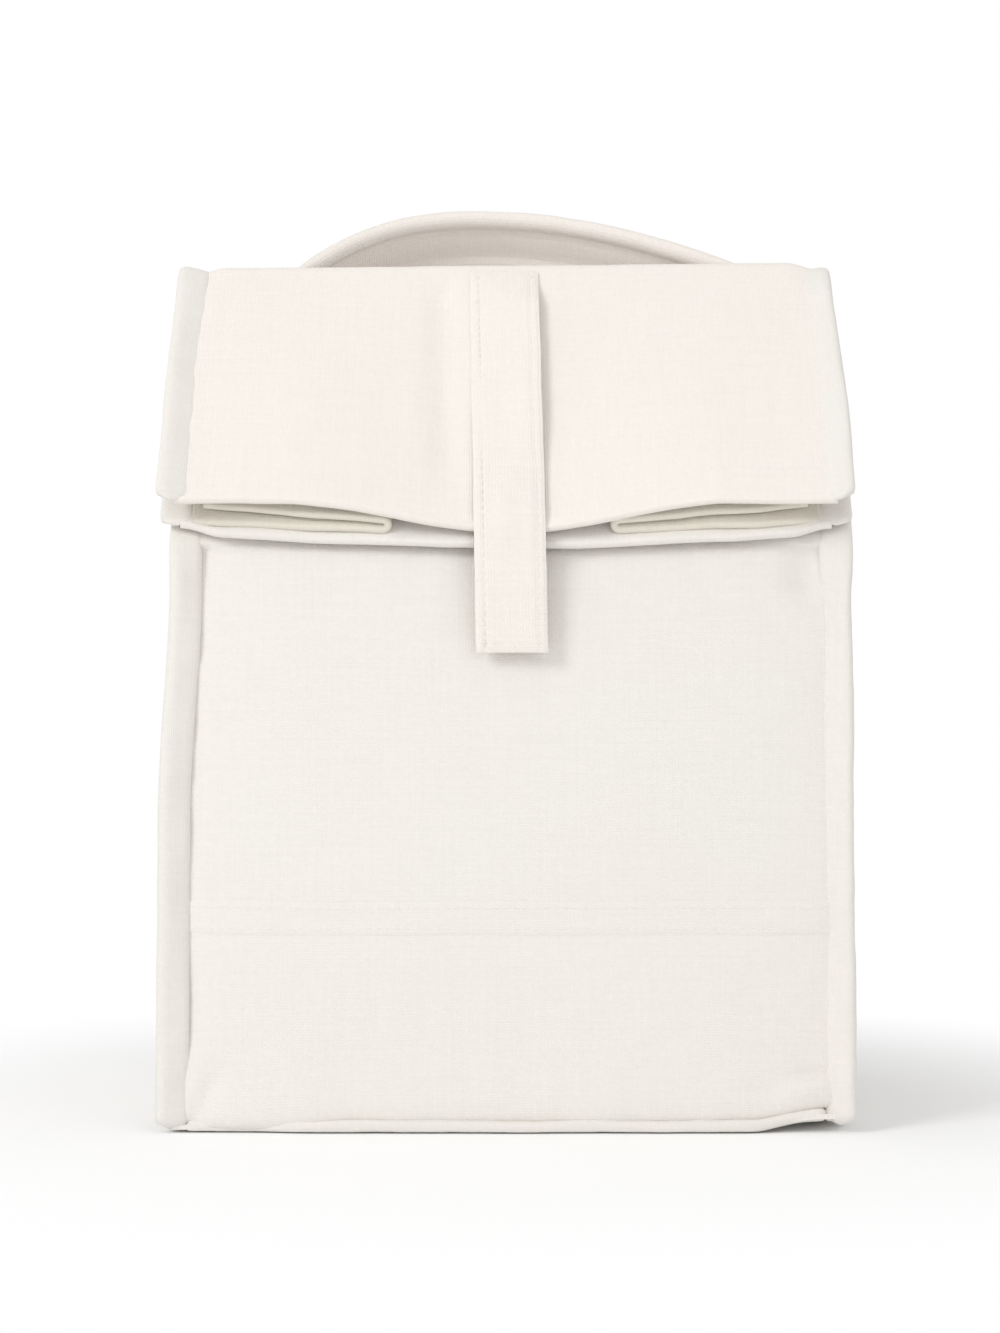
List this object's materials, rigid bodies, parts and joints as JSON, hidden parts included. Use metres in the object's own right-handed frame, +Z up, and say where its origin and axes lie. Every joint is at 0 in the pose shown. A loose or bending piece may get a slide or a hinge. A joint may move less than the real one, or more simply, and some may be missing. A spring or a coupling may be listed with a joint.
{
  "type": "insulated lunch tote",
  "caption": "Upright insulated canvas lunch bag with a gabled neck, a fold-over mouth held by a hook-and-loop strap, and a padded carrying handle on the roof behind the fold.",
  "frame": {"origin": "centre of the base, on the floor", "axes": "+Z up, +X to the right as seen from the front, the front faces -Y"},
  "size_m": [0.215, 0.1508, 0.2954],
  "materials": {
    "canvas": "matte",
    "binding": "matte",
    "lining": "satin",
    "padding": "matte",
    "board": "matte",
    "webbing": "matte",
    "hook_tape": "matte"
  },
  "bodies": {
    "tub": {"front_panel": "canvas", "back_panel": "canvas", "left_side_panel": "canvas", "right_side_panel": "canvas", "base_panel": "canvas", "front_neck_panel": "canvas", "left_neck_gusset": "canvas", "right_neck_gusset": "canvas", "front_left_binding": "binding", "front_right_binding": "binding", "back_left_binding": "binding", "back_right_binding": "binding", "base_front_binding": "binding", "base_back_binding": "binding", "base_left_binding": "binding", "base_right_binding": "binding", "crease_tape": "binding", "front_neck_left_binding": "binding", "front_neck_right_binding": "binding", "liner_front": "lining", "liner_back": "lining", "liner_left": "lining", "liner_right": "lining", "liner_base": "lining", "front_neck_liner": "lining", "foam_front": "padding", "foam_back": "padding", "foam_left": "padding", "foam_right": "padding", "foam_base": "padding", "loop_patch": "hook_tape", "base_board": "board"},
    "rear_neck": {"rear_neck_panel": "canvas", "rear_neck_liner": "lining", "rear_neck_left_binding": "binding", "rear_neck_right_binding": "binding", "handle_left_foot": "webbing", "handle_right_foot": "webbing"},
    "handle": {"handle_cover": "webbing", "handle_core": "padding"},
    "rear_flap": {"rear_flap_panel": "canvas", "rear_flap_liner": "lining", "rear_rim_hem": "binding", "rear_flap_left_binding": "binding", "rear_flap_right_binding": "binding", "strap_anchor": "webbing"},
    "front_flap": {"front_flap_panel": "canvas", "front_flap_liner": "lining", "front_rim_hem": "binding", "front_flap_left_binding": "binding", "front_flap_right_binding": "binding"},
    "left_front_pleat": {"left_front_gusset": "canvas"},
    "left_rear_pleat": {"left_rear_gusset": "canvas"},
    "right_front_pleat": {"right_front_gusset": "canvas"},
    "right_rear_pleat": {"right_rear_gusset": "canvas"},
    "strap": {"strap": "webbing", "hook_patch": "hook_tape"}
  },
  "joints": [
    {"name": "mouth_open", "type": "hinge", "parent": "tub", "child": "rear_neck", "pos_m": [0, 0.065, 0.19], "axis": [-1, 0, 0], "range_deg": [0, 40], "deforming": ["left_neck_gusset", "right_neck_gusset"]},
    {"name": "rear_flap_unfold", "type": "hinge", "parent": "rear_neck", "child": "rear_flap", "pos_m": [0, -0.002, 0.2744], "axis": [-1, 0, 0], "range_deg": [0, 104]},
    {"name": "front_flap_unfold", "type": "hinge", "parent": "tub", "child": "front_flap", "pos_m": [0, -0.00052, 0.25602], "axis": [-1, 0, 0], "range_deg": [0, 144]},
    {"name": "left_front_pleat_spread", "type": "hinge", "parent": "front_flap", "child": "left_front_pleat", "pos_m": [-0.0965, -0.03134, 0.22279], "axis": [0, -0.5878, -0.809], "range_deg": [0, 28], "deforming": ["left_front_gusset"]},
    {"name": "left_rear_pleat_spread", "type": "hinge", "parent": "rear_flap", "child": "left_rear_pleat", "pos_m": [-0.0965, -0.0346, 0.22392], "axis": [0, 0.5878, 0.809], "range_deg": [0, 28], "deforming": ["left_rear_gusset"]},
    {"name": "right_front_pleat_spread", "type": "hinge", "parent": "front_flap", "child": "right_front_pleat", "pos_m": [0.0965, -0.03134, 0.22279], "axis": [0, 0.5878, 0.809], "range_deg": [0, 28], "deforming": ["right_front_gusset"]},
    {"name": "right_rear_pleat_spread", "type": "hinge", "parent": "rear_flap", "child": "right_rear_pleat", "pos_m": [0.0965, -0.0346, 0.22392], "axis": [0, -0.5878, -0.809], "range_deg": [0, 28], "deforming": ["right_rear_gusset"]},
    {"name": "strap_peel", "type": "hinge", "parent": "rear_flap", "child": "strap", "pos_m": [0, -0.0131, 0.26269], "axis": [-1, 0, 0], "range_deg": [0, 75]},
    {"name": "handle_swing", "type": "hinge", "parent": "rear_neck", "child": "handle", "pos_m": [0, 0.00803, 0.26321], "axis": [-1, 0, 0], "range_deg": [-35, 35]}
  ],
  "couplings": [
    {"joint": "rear_flap_unfold", "follows": "mouth_open", "ratio": 2.6},
    {"joint": "front_flap_unfold", "follows": "mouth_open", "ratio": 3.6},
    {"joint": "left_front_pleat_spread", "follows": "mouth_open", "ratio": 0.7},
    {"joint": "left_rear_pleat_spread", "follows": "mouth_open", "ratio": 0.7},
    {"joint": "right_front_pleat_spread", "follows": "mouth_open", "ratio": 0.7},
    {"joint": "right_rear_pleat_spread", "follows": "mouth_open", "ratio": 0.7}
  ]
}
